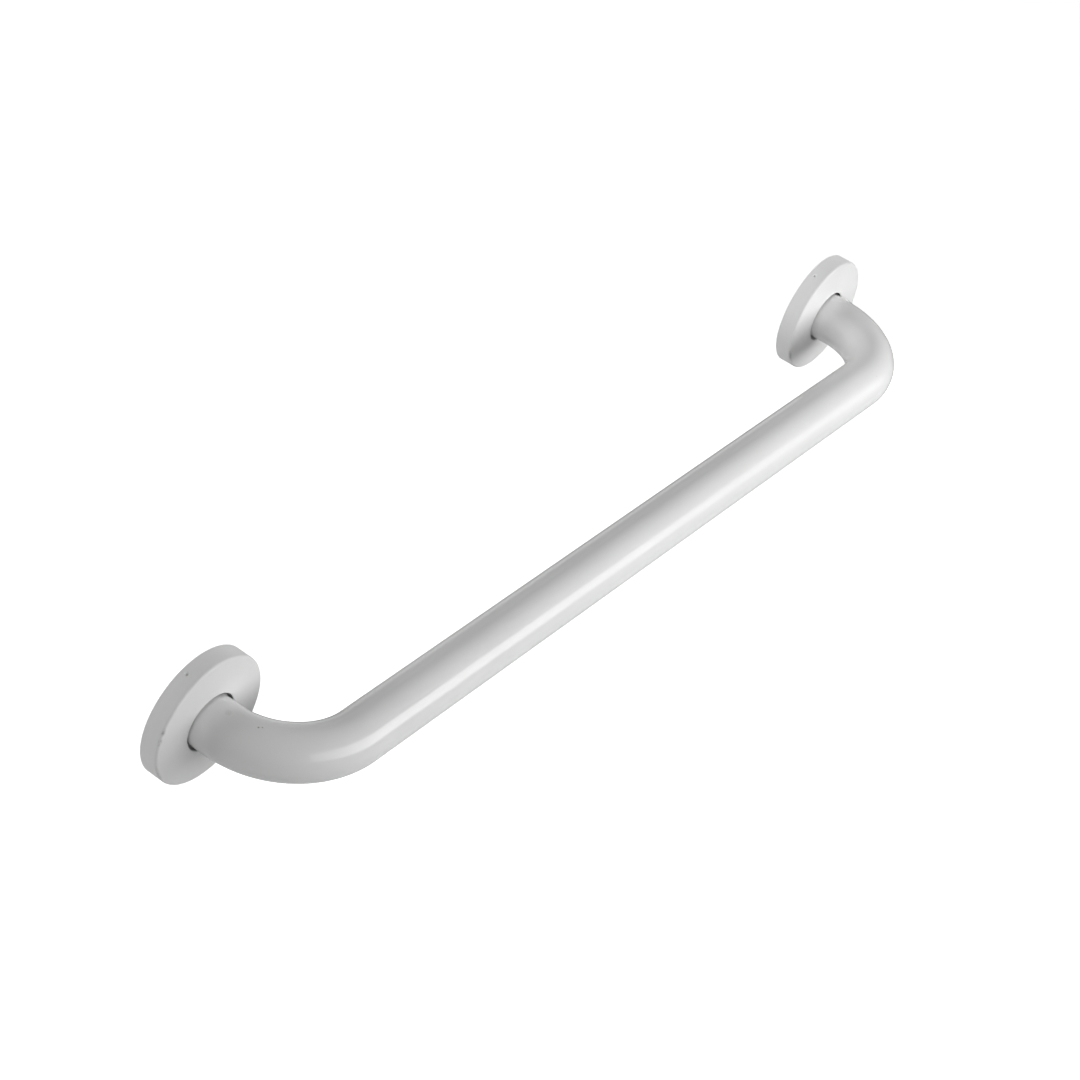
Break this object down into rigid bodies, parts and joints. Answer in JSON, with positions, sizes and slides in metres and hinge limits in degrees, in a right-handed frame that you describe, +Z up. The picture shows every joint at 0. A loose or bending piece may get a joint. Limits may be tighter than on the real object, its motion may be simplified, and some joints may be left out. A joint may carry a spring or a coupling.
{
  "type": "grab bar",
  "caption": "Straight tubular wall grab bar with bent ends, welded mounting flanges and round push-on covers that hide the screws.",
  "frame": {"origin": "on the wall, midway between the two flanges, at the centre of their four outer screw holes", "axes": "+X along the bar, +Y into the wall, +Z up"},
  "size_m": [0.6784, 0.086, 0.0784],
  "materials": {
    "gloss_coat": "gloss",
    "satin_coat": "satin"
  },
  "bodies": {
    "bar": {"bar_tube": "gloss_coat", "left_flange": "gloss_coat", "right_flange": "gloss_coat", "left_weld": "gloss_coat", "right_weld": "gloss_coat"},
    "cover_left": {"left_cover": "satin_coat"},
    "cover_right": {"right_cover": "satin_coat"}
  },
  "joints": [
    {"name": "left_cover_slide", "type": "slide", "parent": "bar", "child": "cover_left", "axis": [0, -1, 0], "range_m": [0, 0.016]},
    {"name": "right_cover_slide", "type": "slide", "parent": "bar", "child": "cover_right", "axis": [0, -1, 0], "range_m": [0, 0.016]}
  ]
}
